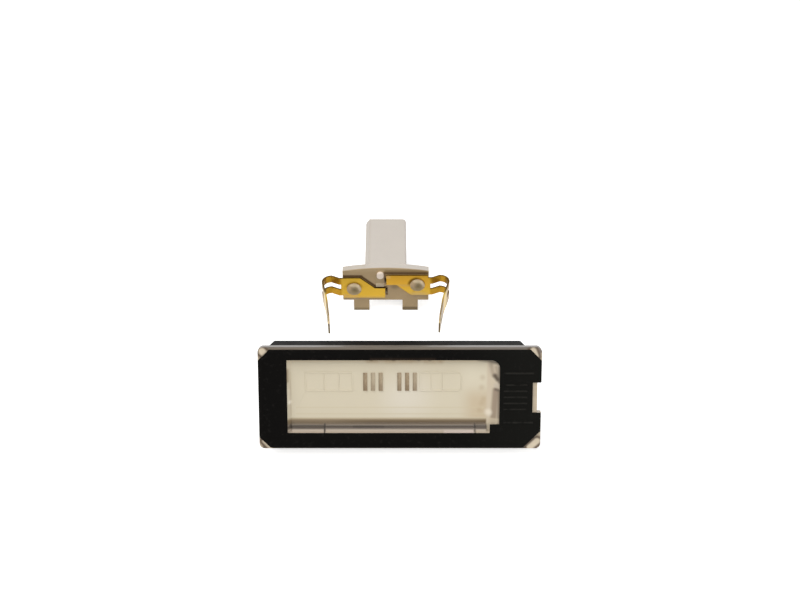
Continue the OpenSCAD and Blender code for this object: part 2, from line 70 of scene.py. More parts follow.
# Bulb holder: it lies tilted by TILT, with the middle of its flange face at HOLDER_FACE,
# HOLDER_BACK behind the lens's middle and HOLDER_RISE above the floor
TILT = math.radians(6)
HOLDER_BACK = 56.5 * MM
HOLDER_RISE = 12.057 * MM
HOLDER_UP = Vector((0, math.sin(TILT), math.cos(TILT)))
HOLDER_OUT = Vector((0, -math.cos(TILT), math.sin(TILT)))
HOLDER_LOW, HOLDER_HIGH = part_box("holder_body")
HOLDER_FACE = Vector((
    (HOLDER_LOW.x + HOLDER_HIGH.x) / 2,
    LENS_MIDDLE.y + HOLDER_BACK,
    HOLDER_RISE,
))

# Middles of the two rivets on the holder's face, in millimetres along it and up it
RIVETS = ((-11, -1.6), (11, 0.2))

# Rounding: edges bent more than SHARP_BEND are rounded, and those past SHADE_BEND stay sharp
SHARP_BEND = math.radians(28)
SHADE_BEND = math.radians(50)
FLAT_BEND = math.radians(0.5)
ROUND_STEPS = 2
SAME_POINT = 0.001 * MM

# Light of the room on the lamp, and the glow that keeps the floor white, full past GLOW_REACH
ROOM_LIGHT = 0.27
FLOOR_GLOW = 0.6
GLOW_REACH = 0.7
GLOW_SOFT = 0.5

# Half the floor's width, and the gap that keeps it clear of the faces that rest on it
FLOOR_HALF = 3
FLOOR_GAP = 0.1 * MM

# Camera over the photograph's frame of 800 by 600 pixels, with the lens's middle at LENS_PIXEL
PHOTO_W = 800
PHOTO_H = 600
SENSOR = 36
LENS_PIXEL = (399.85, 398.2)
PIXELS_PER_METRE = 3160


def srgb(red, green, blue):
    """Linear colour of one given in the 0 to 255 steps of a screen."""
    return tuple(
        part / 12.92 if part <= 0.04045 else ((part + 0.055) / 1.055) ** 2.4
        for part in (red / 255, green / 255, blue / 255)
    )


# Shader writing


class Value:
    """One socket of a finish, on which arithmetic adds Math nodes."""

    def __init__(self, finish, socket):
        self.finish = finish
        self.socket = socket

    def math(self, operation, *others):
        inputs = {0: self}
        inputs.update({place + 1: other for place, other in enumerate(others)})
        return self.finish.add("ShaderNodeMath", {"operation": operation}, inputs)

    def __add__(self, other):
        return self.math("ADD", other)

    def __radd__(self, other):
        return self.math("ADD", other)

    def __mul__(self, other):
        return self.math("MULTIPLY", other)

    def __rmul__(self, other):
        return self.math("MULTIPLY", other)

    def __rsub__(self, other):
        return self.finish.add("ShaderNodeMath", {"operation": "SUBTRACT"}, {0: other, 1: self})

    def __abs__(self):
        return self.math("ABSOLUTE")

    def clamp(self, low, high):
        return self.math("MAXIMUM", low).math("MINIMUM", high)

    def above(self, edge, soft):
        """1 over the edge and 0 under it, with a soft step between."""
        return self.finish.add(
            "ShaderNodeMapRange",
            {"interpolation_type": "SMOOTHSTEP"},
            {"Value": self, "From Min": edge - soft, "From Max": edge + soft},
        )

    def below(self, edge, soft):
        return 1 - self.above(edge, soft)

    def between(self, low, high, soft):
        return self.above(low, soft) * self.below(high, soft)


class Tree:
    """A node tree to which nodes are added with their settings and inputs."""

    def __init__(self, tree):
        self.tree = tree

    def add(self, kind, settings, inputs, output=0):
        """Adds a node with its settings, feeds its inputs and returns one of its outputs."""
        node = self.tree.nodes.new(kind)
        for name, value in settings.items():
            if name == "stops":
                self.set_stops(node.color_ramp, value)
            else:
                setattr(node, name, value)
        for name, value in inputs.items():
            self.feed(node.inputs[name], value)
        return Value(self, node.outputs[output])

    def set_stops(self, ramp, stops):
        while len(ramp.elements) < len(stops):
            ramp.elements.new(0.5)
        for element, (position, colour) in zip(ramp.elements, stops):
            element.position = position
            element.color = (*colour, 1)

    def feed(self, socket, value):
        if isinstance(value, Value):
            self.tree.links.new(value.socket, socket)
        elif socket.type == "RGBA":
            socket.default_value = (*value[:3], 1)
        else:
            socket.default_value = value


class Finish(Tree):
    """A material with one Principled shader, and the nodes that feed it."""

    def __init__(self, name, **constants):
        self.material = bpy.data.materials.new(name)
        self.material.use_nodes = True
        super().__init__(self.material.node_tree)
        self.shader = self.tree.nodes["Principled BSDF"]
        self.place = self.add("ShaderNodeTexCoord", {}, {}, "Object")
        for socket, value in constants.items():
            self.set(socket.replace("_", " ").title().replace("Ior", "IOR"), value)

    def set(self, name, value):
        self.feed(self.shader.inputs[name], value)

    def along(self, origin, direction):
        """Distance from an origin along a direction, in millimetres."""
        offset = self.add(
            "ShaderNodeVectorMath", {"operation": "SUBTRACT"}, {0: self.place, 1: origin})
        return self.add(
            "ShaderNodeVectorMath", {"operation": "DOT_PRODUCT"},
            {0: offset, 1: direction / MM}, "Value")

    def noise(self, size, detail=2.0, stretch=(1, 1, 1)):
        """Noise whose blotches are about the given size in millimetres."""
        place = self.add(
            "ShaderNodeMapping", {}, {"Vector": self.place, "Scale": Vector(stretch) / (size * MM)})
        return self.add(
            "ShaderNodeTexNoise", {}, {"Vector": place, "Scale": 1.0, "Detail": detail}, "Fac")

    def facing(self, direction):
        """1 where the surface faces a direction, down to -1 where it faces away."""
        normal = self.add("ShaderNodeTexCoord", {}, {}, "Normal")
        return self.add(
            "ShaderNodeVectorMath", {"operation": "DOT_PRODUCT"}, {0: normal, 1: direction}, "Value")

    def mix(self, factor, first, second):
        """Colour that goes from the first to the second with the factor."""
        return self.add(
            "ShaderNodeMix", {"data_type": "RGBA"}, {"Factor": factor, 6: first, 7: second}, 2)

    def paint(self, colour, *coats):
        """Lays coats over a colour in turn, each a mask and its tint."""
        for mask, tint in coats:
            colour = self.mix(mask, colour, tint)
        return colour

    def bands(self, value, stops):
        """Colour by a value in millimetres, with a stop at each of the given places."""
        low, high = stops[0][0], stops[-1][0]
        share = self.add(
            "ShaderNodeMapRange", {}, {"Value": value, "From Min": low, "From Max": high})
        return self.add("ShaderNodeValToRGB", {
            "stops": [((place - low) / (high - low), colour) for place, colour in stops],
        }, {"Fac": share})

    def bump(self, height, distance, strength=1.0):
        """Relief whose height is a distance in millimetres."""
        self.set("Normal", self.add(
            "ShaderNodeBump", {}, {"Height": height, "Distance": distance * MM, "Strength": strength}))


class Face:
    """Places on one flat side of the lamp in millimetres: along it, up it and out of it."""

    def __init__(self, finish, middle, up, out):
        self.finish = finish
        self.x = finish.along(middle, Vector((1, 0, 0)))
        self.up = finish.along(middle, up)
        self.out = finish.along(middle, out)
        self.flat = finish.add("ShaderNodeCombineXYZ", {}, {"X": self.x, "Y": self.up})

    def vector(self, operation, inputs, output=0):
        return self.finish.add("ShaderNodeVectorMath", {"operation": operation}, inputs, output)

    def line(self, start, end, width, soft=0.2):
        """1 on a line with round ends, and 0 beside it."""
        start = Vector((*start, 0))
        run = Vector((*end, 0)) - start
        offset = self.vector("SUBTRACT", {0: self.flat, 1: start})
        way = run.normalized()
        ahead = self.vector("DOT_PRODUCT", {0: offset, 1: way}, "Value").clamp(0, run.length)
        nearest = self.vector("SCALE", {0: way, "Scale": ahead})
        return self.vector("DISTANCE", {0: offset, 1: nearest}, "Value").below(width / 2, soft)

    def spot(self, middle, width, soft=0.2):
        """1 on a round spot, and 0 round it."""
        distance = self.vector("DISTANCE", {0: self.flat, 1: Vector((*middle, 0))}, "Value")
        return distance.below(width / 2, soft)

    def ring(self, middle, width, band, soft=0.2):
        """1 on a ring of the given outer width and band, and 0 beside it."""
        distance = self.vector("DISTANCE", {0: self.flat, 1: Vector((*middle, 0))}, "Value")
        return distance.between(width / 2 - band, width / 2, soft)

    def patch(self, left, right, low, high, soft=0.2):
        """1 within a rectangle, and 0 round it."""
        return self.x.between(left, right, soft) * self.up.between(low, high, soft)


# Sizes and colours that a user would change


class LampSizes(bpy.types.PropertyGroup):
    edge_round: FloatProperty(
        name="Moulded edge radius", description="Radius on the edges of the housing and the holder",
        default=0.3 * MM, min=0, unit="LENGTH")
    fine_round: FloatProperty(
        name="Fine edge radius", description="Radius on the edges of the lens and its black frame",
        default=0.12 * MM, min=0, unit="LENGTH")
    sheet_round: FloatProperty(
        name="Sheet edge radius",
        description="Radius on the edges of the contacts, the clip and the reflector",
        default=0.1 * MM, min=0, unit="LENGTH")
    camera_height: FloatProperty(
        name="Camera elevation", description="Angle of the camera above the floor",
        default=math.radians(47), subtype="ANGLE")
    camera_reach: FloatProperty(
        name="Camera distance", description="Distance from the camera to the lens",
        default=0.45, unit="LENGTH")


class LampColours(bpy.types.PropertyGroup):
    window: FloatVectorProperty(
        name="Window", description="Cream of the window", subtype="COLOR", size=3,
        default=srgb(203, 193, 170))
    bare_lens: FloatVectorProperty(
        name="Bare lens", description="Lens seen past the black frame", subtype="COLOR", size=3,
        default=srgb(196, 181, 157))
    black: FloatVectorProperty(
        name="Black moulding", description="Black of the frame and housing", subtype="COLOR", size=3,
        default=srgb(13, 12, 11))
    holder: FloatVectorProperty(
        name="Holder", description="Grey-white of the bulb holder", subtype="COLOR", size=3,
        default=srgb(211, 203, 193))
    # Front of the holder: browned by heat and darkened with painted shade
    browned_and_shaded: FloatVectorProperty(
        name="Heated holder", description="Holder side that the bulb has browned",
        subtype="COLOR", size=3, default=srgb(180, 156, 119))
    brass: FloatVectorProperty(
        name="Brass", description="Brass of the contacts", subtype="COLOR", size=3,
        default=srgb(205, 165, 58))


# Finishes


def lens_finish(colours):
    """Warm clear moulding: cream window with painted highlights and painted shade, brown ribs, banded
    lower rail and bare beige corners.
    """
    finish = Finish(
        "lens_warm_clear", roughness=0.3, specular_ior_level=0.3, coat_weight=0.1, coat_roughness=0.1)
    face = Face(finish, LENS_MIDDLE, LENS_UP, LENS_OUT)
    cream = Vector(colours.window)
    window = finish.mix(finish.noise(9, 3), tuple(cream * 0.97), tuple(cream * 1.03))
    window = paint_window(finish, face, window)
    window = paint_end_wall(finish, face, window)
    window = paint_rail(finish, face, window)
    window = paint_ribs(finish, face, window)
    inside = face.patch(-38, 36, -13.6, 14, 0.2) * face.out.below(0.2, 0.1)
    finish.set("Base Color", finish.mix(inside, paint_bare_edge(finish, face, colours), window))
    finish.bump(finish.noise(3, 2), 0.03, 0.4)
    return finish.material


def paint_window(finish, face, colour):
    """Painted soft highlight in the middle, painted shade along the top edge, painted highlights on
    the left wall, stains and faint lines of the cream window.
    """
    stain = finish.noise(3.5, 3).above(0.45, 0.2)
    colour = finish.paint(
        colour,
        # painted highlight: a soft pool of light in the middle of the window
        (face.spot((2, 0), 13, 6) * 0.8, srgb(212, 204, 188)),
        (face.patch(21, 30, -9, 1.5, 3) * 0.8, srgb(192, 174, 145)),
        (face.patch(20, 30, 4, 11, 3) * 0.6, srgb(211, 202, 180)),
        # painted shade along the top of the window, under the frame
        (face.up.above(11.6, 0.7) * 0.4, srgb(176, 157, 126)),
        (face.line((-10, 11.9), (13, 11.7), 1.5, 0.8) * stain * 0.5, srgb(168, 142, 106)),
        (face.line((-35.6, 9), (-35.6, 5.5), 0.8, 0.5) * 0.7, srgb(140, 116, 86)),
        # painted highlights on the left wall of the window
        (face.line((-35.3, 2.5), (-35.3, -1), 0.7, 0.4) * 0.5, srgb(226, 216, 198)),
        (face.spot((-35, -1.6), 1.1, 0.5), srgb(236, 229, 214)),
        (face.line((-34.6, -6), (-34.6, 8), 0.3, 0.3) * 0.35, srgb(180, 163, 134)),
    )
    for level in (-3.5, -5.6):
        band = face.patch(-33, 27, level - 0.2, level + 0.2)
        colour = finish.paint(colour, (band * 0.5, srgb(196, 183, 153)))
    for x in (-9, -2, 6, 9.5):
        colour = finish.paint(colour, (face.spot((x, 12.6), 1.4, 0.5) * 0.8, srgb(60, 48, 38)))
    for x, up in ((26.2, 6.4), (25.9, 3.1), (26, -2), (25.3, -4.4), (26.6, -0.6)):
        colour = finish.paint(colour, (face.spot((x, up), 1.4, 0.9) * 0.4, srgb(172, 150, 120)))
    return colour


def paint_end_wall(finish, face, colour):
    """Clear wall at the right end of the window, with its streaks and painted highlights."""
    wall = face.x.above(27.6, 0.5)
    return finish.paint(
        colour,
        (wall, srgb(199, 185, 162)),
        (face.line((30.3, 2.4), (29.7, -7.4), 1.9, 0.6), srgb(152, 135, 116)),
        (face.line((28.8, 10.8), (29.6, 7.2), 1.3, 0.6) * 0.8, srgb(163, 147, 128)),
        (face.line((30.4, 10), (30.8, 7.6), 0.9, 0.5) * 0.8, srgb(158, 143, 124)),
        (face.line((30.1, 7.2), (30.9, 6.1), 1.4, 0.6), srgb(92, 79, 66)),
        # painted highlight on the clear end wall
        (face.spot((30.5, 4.1), 1.5, 0.6) * 0.8, srgb(190, 178, 162)),
        (face.line((30.3, 2.7), (31.2, 2.5), 0.8, 0.5), srgb(112, 98, 84)),
        (face.line((31.3, 2), (31.3, -8.4), 0.8, 0.4) * 0.8, srgb(128, 112, 95)),
        (face.line((31.5, 10), (31.5, 5.2), 0.9, 0.5) * 0.8, srgb(100, 88, 75)),
        (face.line((25, 12.5), (31.6, 11.4), 1.0, 0.7) * 0.8, srgb(58, 50, 42)),
        # painted highlight where the end wall meets the window floor
        (face.spot((28.1, -5), 2.0, 0.8), srgb(219, 208, 189)),
        (face.patch(28.2, 31.4, -8.6, -6.8, 0.4) * 0.8, srgb(196, 181, 155)),
    )


def paint_rail(finish, face, colour):
    """Bands of the split rail along the lower edge of the window, with painted shadow above the rail,
    painted shade in its grooves and a painted highlight on its lower band.
    """
    # Stops from the bottom: a painted highlight on the rail's lower band, painted shade in its
    # grooves, then a painted shadow on the window just above the rail
    bands = finish.bands(face.up, [
        (-12.4, srgb(110, 98, 86)),
        (-11.9, srgb(174, 160, 143)),
        (-10.8, srgb(192, 178, 162)),
        (-10.25, srgb(116, 106, 96)),
        (-9.75, srgb(84, 75, 65)),
        (-9.2, srgb(130, 119, 108)),
        (-8.85, srgb(122, 110, 95)),
        (-8.3, srgb(100, 84, 62)),
        (-7.7, srgb(122, 105, 80)),
        (-7.1, srgb(182, 167, 140)),
        (-6.6, srgb(207, 195, 168)),
    ])
    left = face.x.below(-16, 10)
    return finish.paint(
        colour,
        (face.up.below(-6.8, 0.3) * face.x.below(27.5, 0.3) * face.x.above(-35.8, 0.3), bands),
        # The patches below lighten or deepen the painted shadow, groove shade and highlight along the
        # rail; the two upright lines are the rail's splits
        (face.patch(-36, -8, -8.7, -7.4, 0.4) * left * 0.35, srgb(150, 134, 110)),
        (face.patch(-35.2, -24.2, -10.4, -9, 0.2) * 0.7, srgb(92, 83, 73)),
        (face.patch(24.3, 27.6, -10.4, -8.9, 0.2) * 0.75, srgb(104, 94, 84)),
        (face.patch(14, 23.6, -11.7, -10.8, 0.3) * 0.7, srgb(206, 192, 184)),
        (face.patch(24.4, 28.3, -12, -10.7, 0.3) * 0.7, srgb(190, 177, 158)),
        (face.patch(-15, -5, -10.1, -9.4, 0.3) * 0.6, srgb(70, 62, 54)),
        (face.line((-24, -9.1), (-24, -12), 0.45, 0.2) * 0.85, srgb(62, 54, 46)),
        (face.line((24, -9.1), (24, -12), 0.45, 0.2) * 0.6, srgb(72, 64, 56)),
    )


def paint_ribs(finish, face, colour):
    """Brown of the six upright ribs, darker at their feet and uneven from rib to rib."""
    smear = finish.noise(0.9, 2, (2, 1, 1))
    tone = finish.mix(smear, srgb(118, 98, 72), srgb(176, 158, 130))
    foot = face.up.below(4.2, 2.0) * 0.55
    top = face.out.above(-1.32, 0.05) * face.up.above(1.2, 0.2)
    for group, depths in ((-8.5, (1, 0.65, 0.85)), (2.3, (0.9, 1, 0.8))):
        for step, depth in zip((-1, 0, 1), depths):
            middle = group + step * 2.45
            rib = face.x.between(middle - 0.8, middle + 0.8, 0.12) * top
            colour = finish.paint(
                colour,
                (rib * depth, tone),
                (rib * foot * depth, srgb(112, 92, 68)),
                (rib * face.x.below(middle - 0.25, 0.2) * (0.4 * depth), srgb(106, 86, 62)),
            )
    return colour


def paint_bare_edge(finish, face, colours):
    """Lens past the black frame: a dull rim with beige corners that have brown borders along the
    frame.
    """
    plain = finish.mix(finish.noise(2), srgb(178, 163, 140), tuple(colours.bare_lens))
    front = face.out.above(-0.4, 0.2)
    rim = finish.bands(face.up, [
        (-16.9, srgb(92, 88, 80)),
        (-15.5, srgb(70, 66, 60)),
        (14.5, srgb(96, 88, 78)),
        (15.6, srgb(126, 115, 101)),
        (16.4, srgb(124, 113, 100)),
        (16.8, srgb(84, 76, 67)),
    ])
    rim = finish.paint(rim, (face.x.above(22, 12) * face.up.above(14, 1) * 0.6, srgb(112, 104, 97)))
    beige = finish.mix(finish.noise(1.2), srgb(196, 181, 156), srgb(214, 200, 177))
    brown = srgb(92, 76, 60)
    colour = finish.paint(
        plain,
        (front * face.x.between(-43.6, 43.6, 0.4) * face.up.between(-20, -15.4, 0.2), rim),
        (face.out.above(-2.6, 0.3) * face.up.above(14.8, 0.3), rim),
    )
    corners = (
        ((-43.3, 15.3), (-42.5, 14.5), 2.2),
        ((41.9, 15.5), (42.6, 13.8), 2.0),
        ((-43.2, -14.2), (-41.4, -16.2), 1.3),
        ((43.7, -14.2), (41.4, -16.3), 1.9),
    )
    for start, end, width in corners:
        colour = finish.paint(
            colour,
            (front * face.line(start, end, width + 1.8, 0.5), brown),
            (front * face.line(start, end, width, 0.4), beige),
        )
    return colour


def black_finish(name, colours, grain):
    """Black moulded plastic with a fine grain, a little dust and a painted sheen on the raised ribs.
    """
    finish = Finish(name, specular_ior_level=0.02)
    black = Vector(colours.black)
    dust = finish.noise(1.2, 4).above(0.64, 0.08)
    colour = finish.mix(dust, tuple(black), tuple(black * 2.2))
    face = Face(finish, LENS_MIDDLE, LENS_UP, LENS_OUT)
    raised = face.out.above(0.92, 0.06) * face.patch(31, 43, -9.5, 9.5)
    colour = finish.paint(
        colour,
        (face.x.above(28, 14) * 0.5, srgb(26, 26, 23)),
        # painted sheen on the raised ribs of the right field
        (raised * finish.noise(2.5, 2).above(0.42, 0.12), srgb(37, 36, 33)),
        (face.line((-9, 12.9), (11, 12.9), 0.8, 0.5) * finish.noise(4, 3) * 0.8, srgb(58, 47, 37)),
    )
    finish.set("Base Color", colour)
    finish.set("Roughness", 0.42 + finish.noise(4, 2) * 0.16)
    finish.bump(finish.noise(grain, 3), 0.02, 0.5)
    return finish.material


def reflector_finish():
    """Smooth ivory shell."""
    finish = Finish("reflector_ivory", roughness=0.3)
    finish.set("Base Color", finish.mix(finish.noise(6, 2), srgb(216, 206, 181), srgb(228, 220, 198)))
    finish.bump(finish.noise(1.5, 2), 0.02, 0.3)
    return finish.material


def holder_finish(colours):
    """Grey-white plastic; the side that faces the bulb is browned by heat and darkened with painted
    shade, and carries painted shadow along the contacts' upper edges, painted highlights on the pip
    and the rivet rims and painted shade at the feet and on the stem's left side.
    """
    finish = Finish("holder_grey_white", roughness=0.45, specular_ior_level=0.3)
    face = Face(finish, HOLDER_FACE, HOLDER_UP, HOLDER_OUT)
    mottle = finish.noise(5, 3)
    clean = Vector(colours.holder)
    browned_and_shaded = Vector(colours.browned_and_shaded)
    plain = finish.mix(mottle, tuple(clean * 0.96), tuple(clean * 1.03))
    plain = finish.paint(
        plain,
        (face.patch(-16, -6.9, -8, 9, 0.5) * 0.3, srgb(196, 182, 160)),
        # painted shade on the stem's left side
        (face.patch(-7.6, -5.4, 7, 60, 0.5) * 0.35, srgb(190, 178, 162)),
    )
    # Front of the holder: browned by heat and darkened with painted shade, as it is less lit than the
    # top
    warm = finish.mix(mottle, tuple(browned_and_shaded * 0.92), tuple(browned_and_shaded * 1.08))
    # dark brown of the painted shadow along the contacts' upper edges
    painted_shadow = srgb(92, 68, 38)
    warm = finish.paint(
        warm,
        (face.up.above(5.8, 0.8) * 0.4, srgb(196, 174, 140)),
        # painted shadow above the right contact and along the upper edges of both contacts
        (face.patch(-0.4, 14.4, 4.3, 6.4, 0.6) * 0.75, srgb(136, 108, 64)),
        (face.line((-0.2, 5), (14.3, 5), 0.8, 0.4), painted_shadow),
        (face.line((-0.3, 5.3), (-0.3, 0.9), 0.5, 0.25), painted_shadow),
        (face.line((-14.9, 3.6), (-8.5, 3.6), 0.9, 0.35), painted_shadow),
        (face.line((-8.5, 3.5), (-3.5, -1), 0.9, 0.3), painted_shadow),
        (face.line((-3.5, -1.1), (0.2, -1.2), 0.7, 0.25), painted_shadow),
        (face.line((0.4, -1.7), (0.4, -4.6), 0.6, 0.3), painted_shadow),
        (face.line((-2, 2.4), (-2, 0.4), 2.4, 0.6) * 0.5, srgb(190, 172, 140)),
        (face.patch(-3.4, -0.6, -0.5, 0.6, 0.15), srgb(186, 172, 146)),
        # painted highlight on the pip
        (face.spot((-1.9, 4.5), 2.6, 0.15) * face.out.above(0.1, 0.05), srgb(246, 230, 214)),
        # painted shade at the lower ends of the feet
        (face.patch(5.5, 11.5, -12, -10.4, 0.3) * 0.8, srgb(104, 88, 60)),
        (face.patch(-11.5, -5.5, -12, -10.8, 0.4) * 0.6, srgb(112, 98, 68)),
        (face.spot((3.2, -0.9), 2.4, 0.9) * 0.5, srgb(118, 100, 68)),
    )
    crown = face.out.above(0.9, 0.1)
    for x, up in RIVETS:
        # painted highlights on the upper and right rims of each rivet head
        top = face.line((x - 1, up + 2), (x + 1.2, up + 1.8), 0.9, 0.4)
        side = face.line((x + 1.4, up + 1.6), (x + 2.2, up + 0.1), 0.9, 0.4)
        warm = finish.paint(
            warm,
            (face.spot((x, up), 5.4, 0.1) * face.out.above(0.55, 0.1), srgb(176, 155, 120)),
            (top * crown, srgb(202, 184, 152)),
            (side * crown, srgb(222, 204, 172)),
            (face.spot((x - 1.6, up + 0.8), 1.8, 0.8) * crown * 0.5, srgb(206, 176, 142)),
            (face.spot((x + 0.3, up), 2.2, 1.1) * crown * 0.8, srgb(118, 104, 66)),
        )
    # the front takes the browned and painted-shade colour, the top and back the plain one
    finish.set("Base Color", finish.mix(face.out.above(-0.35, 0.2), plain, warm))
    finish.bump(finish.noise(0.6, 2), 0.015, 0.4)
    return finish.material


def brass_finish(colours):
    """Rolled brass, browned round the rivets and dull towards the tips of the arms, with painted shade
    on the humps and the upward edges, a painted highlight along the arms and painted light on the
    tips.
    """
    finish = Finish("contact_brass")
    face = Face(finish, HOLDER_FACE, HOLDER_UP, HOLDER_OUT)
    cloud = finish.noise(3, 3)
    bright = Vector(colours.brass)
    colour = finish.mix(cloud, tuple(bright * 0.8), tuple(bright * 0.98))
    colour = paint_plates(finish, face, colour)
    reach = face.out
    hump = abs(face.x).above(15.4, 0.4) * reach.below(8, 2)
    colour = finish.paint(
        colour,
        # painted shade on the humps of the arms, darkest on their upper outer part
        (hump, finish.mix(cloud, srgb(140, 104, 22), srgb(184, 140, 40))),
        (hump * reach.between(3.2, 7, 1.2) * 0.6, srgb(112, 84, 18)),
        # painted highlight along the middle of the arms
        (reach.between(6.5, 10.5, 1.5) * 0.5, srgb(212, 190, 112)),
        # painted shade on the edges that face up
        (finish.facing(HOLDER_UP).above(0.6, 0.15) * reach.below(8, 1) * 0.85, srgb(84, 62, 18)),
    )
    dull = reach.above(12, 2.5)
    # dull brown lower arms, with painted light on the bent tips
    tip = finish.mix(reach.above(18.6, 0.5), srgb(146, 122, 80), srgb(178, 154, 112))
    finish.set("Base Color", finish.mix(dull, colour, tip))
    finish.set("Metallic", 1 - dull * 0.7)
    finish.set("Roughness", 0.26 + cloud * 0.14)
    finish.bump(finish.noise(0.5, 2, (1, 8, 8)), 0.006, 0.4)
    return finish.material


def paint_plates(finish, face, colour):
    """Brown rings over the rivets, dull patches and a painted highlight at the right plate's upper
    left corner on the flat plates of the contacts.
    """
    plate = face.out.below(1.2, 0.3)
    left, right = RIVETS
    right_ring = face.ring(right, 6.8, 1.1, 0.35) * face.up.above(0, 1.2) * face.x.below(11.6, 1.6)
    left_ring = face.ring(left, 6.6, 1.0, 0.4) * face.up.above(-1.2, 1.2)
    coats = (
        (face.patch(0, 15, -1, 5, 0.5) * 0.45, srgb(204, 146, 46)),
        (right_ring * 0.85, srgb(104, 76, 20)),
        (left_ring * 0.35, srgb(126, 96, 26)),
        (face.patch(0, 8.5, -0.6, 0.4, 0.5) * 0.4, srgb(170, 148, 92)),
        (face.patch(8.5, 13.6, -6.5, -3.2, 2.2) * 0.8, srgb(168, 144, 98)),
        (face.patch(6, 15.5, -6, -3.7, 0.7) * 0.45, srgb(176, 150, 96)),
        (face.patch(-15, -9.5, -7, -4.2, 0.7) * 0.55, srgb(182, 150, 98)),
        (face.patch(-10, 0, -7, -4.9, 0.5) * 0.5, srgb(172, 146, 86)),
        # painted highlight at the upper left corner of the right plate
        (face.patch(0, 1.6, 3, 4.6, 0.4) * 0.6, srgb(206, 168, 106)),
    )
    return finish.paint(colour, *((plate * mask, tint) for mask, tint in coats))


def steel_finish():
    """Rolled spring steel with fine streaks."""
    finish = Finish("clip_steel", metallic=1.0)
    streak = finish.noise(0.8, 2, (1, 6, 1))
    finish.set("Base Color", finish.mix(streak, srgb(126, 125, 120), srgb(160, 159, 152)))
    finish.set("Roughness", 0.28 + streak * 0.14)
    return finish.material


# Pieces


def softened(name, node, radius):
    """A copy of a construction node with its sharp edges rounded."""
    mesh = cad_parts[node].data.copy()
    mesh.name = name
    shape = bmesh.new()
    shape.from_mesh(mesh)
    bmesh.ops.remove_doubles(shape, verts=shape.verts, dist=SAME_POINT)
    bmesh.ops.dissolve_limit(
        shape, angle_limit=FLAT_BEND, verts=shape.verts, edges=shape.edges)
    sharp = [
        edge for edge in shape.edges
        if edge.is_manifold and edge.calc_face_angle() > SHARP_BEND
    ]
    bmesh.ops.bevel(
        shape, geom=sharp, offset=radius, offset_type="OFFSET", segments=ROUND_STEPS,
        profile=0.5, affect="EDGES", clamp_overlap=True, material=-1)
    bmesh.ops.triangulate(shape, faces=[face for face in shape.faces if len(face.verts) > 4])
    shape.to_mesh(mesh)
    shape.free()
    piece = bpy.data.objects.new(name, mesh)
    bpy.context.collection.objects.link(piece)
    for polygon in mesh.polygons:
        polygon.use_smooth = True
    mesh.set_sharp_from_angle(angle=SHADE_BEND)
    flat = piece.modifiers.new("flat_faces", "WEIGHTED_NORMAL")
    flat.mode = "FACE_AREA"
    flat.weight = 100
    flat.keep_sharp = True
    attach(piece, "root")
    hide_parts(node)
    return piece


def finish_piece(piece, material):
    piece.data.materials.clear()
    piece.data.materials.append(material)


class LampOperator:
    """What the lamp's operators share."""

    bl_options = {"REGISTER", "UNDO"}

    @property
    def sizes(self):
        return bpy.context.scene.lamp_sizes

    @property
    def colours(self):
        return bpy.context.scene.lamp_colours


class LAMP_OT_lens(LampOperator, bpy.types.Operator):
    """Finish the lens"""

    bl_idname = "lamp.lens"
    bl_label = "Lens"

    def execute(self, context):
        piece = softened("lens_moulding", "lens", self.sizes.fine_round)
        finish_piece(piece, lens_finish(self.colours))
        return {"FINISHED"}


class LAMP_OT_seal_frame(LampOperator, bpy.types.Operator):
    """Finish the black frame on the lens"""

    bl_idname = "lamp.seal_frame"
    bl_label = "Black frame"

    def execute(self, context):
        piece = softened("black_frame", "seal_frame", self.sizes.fine_round)
        finish_piece(piece, black_finish("frame_black", self.colours, 0.5))
        return {"FINISHED"}


class LAMP_OT_housing(LampOperator, bpy.types.Operator):
    """Finish the housing and its reflector"""

    bl_idname = "lamp.housing"
    bl_label = "Housing and reflector"

    def execute(self, context):
        shell = softened("housing_shell", "housing", self.sizes.edge_round)
        finish_piece(shell, black_finish("housing_black", self.colours, 0.8))
        liner = softened("reflector_shell", "reflector", self.sizes.sheet_round)
        finish_piece(liner, reflector_finish())
        return {"FINISHED"}


class LAMP_OT_spring_clip(LampOperator, bpy.types.Operator):
    """Finish the spring clip"""

    bl_idname = "lamp.spring_clip"
    bl_label = "Spring clip"

    def execute(self, context):
        clip = softened("catch_clip", "spring_clip", self.sizes.sheet_round)
        finish_piece(clip, steel_finish())
        return {"FINISHED"}


class LAMP_OT_holder(LampOperator, bpy.types.Operator):
    """Finish the bulb holder's moulding"""

    bl_idname = "lamp.holder"
    bl_label = "Bulb holder"

    def execute(self, context):
        body = softened("holder_moulding", "holder_body", self.sizes.edge_round)
        finish_piece(body, holder_finish(self.colours))
        return {"FINISHED"}


class LAMP_OT_contacts(LampOperator, bpy.types.Operator):
    """Finish the two brass contacts"""

    bl_idname = "lamp.contacts"
    bl_label = "Brass contacts"

    def execute(self, context):
        brass = brass_finish(self.colours)
        for side in ("left", "right"):
            piece = softened(f"brass_{side}", f"contact_{side}", self.sizes.sheet_round)
            finish_piece(piece, brass)
        return {"FINISHED"}


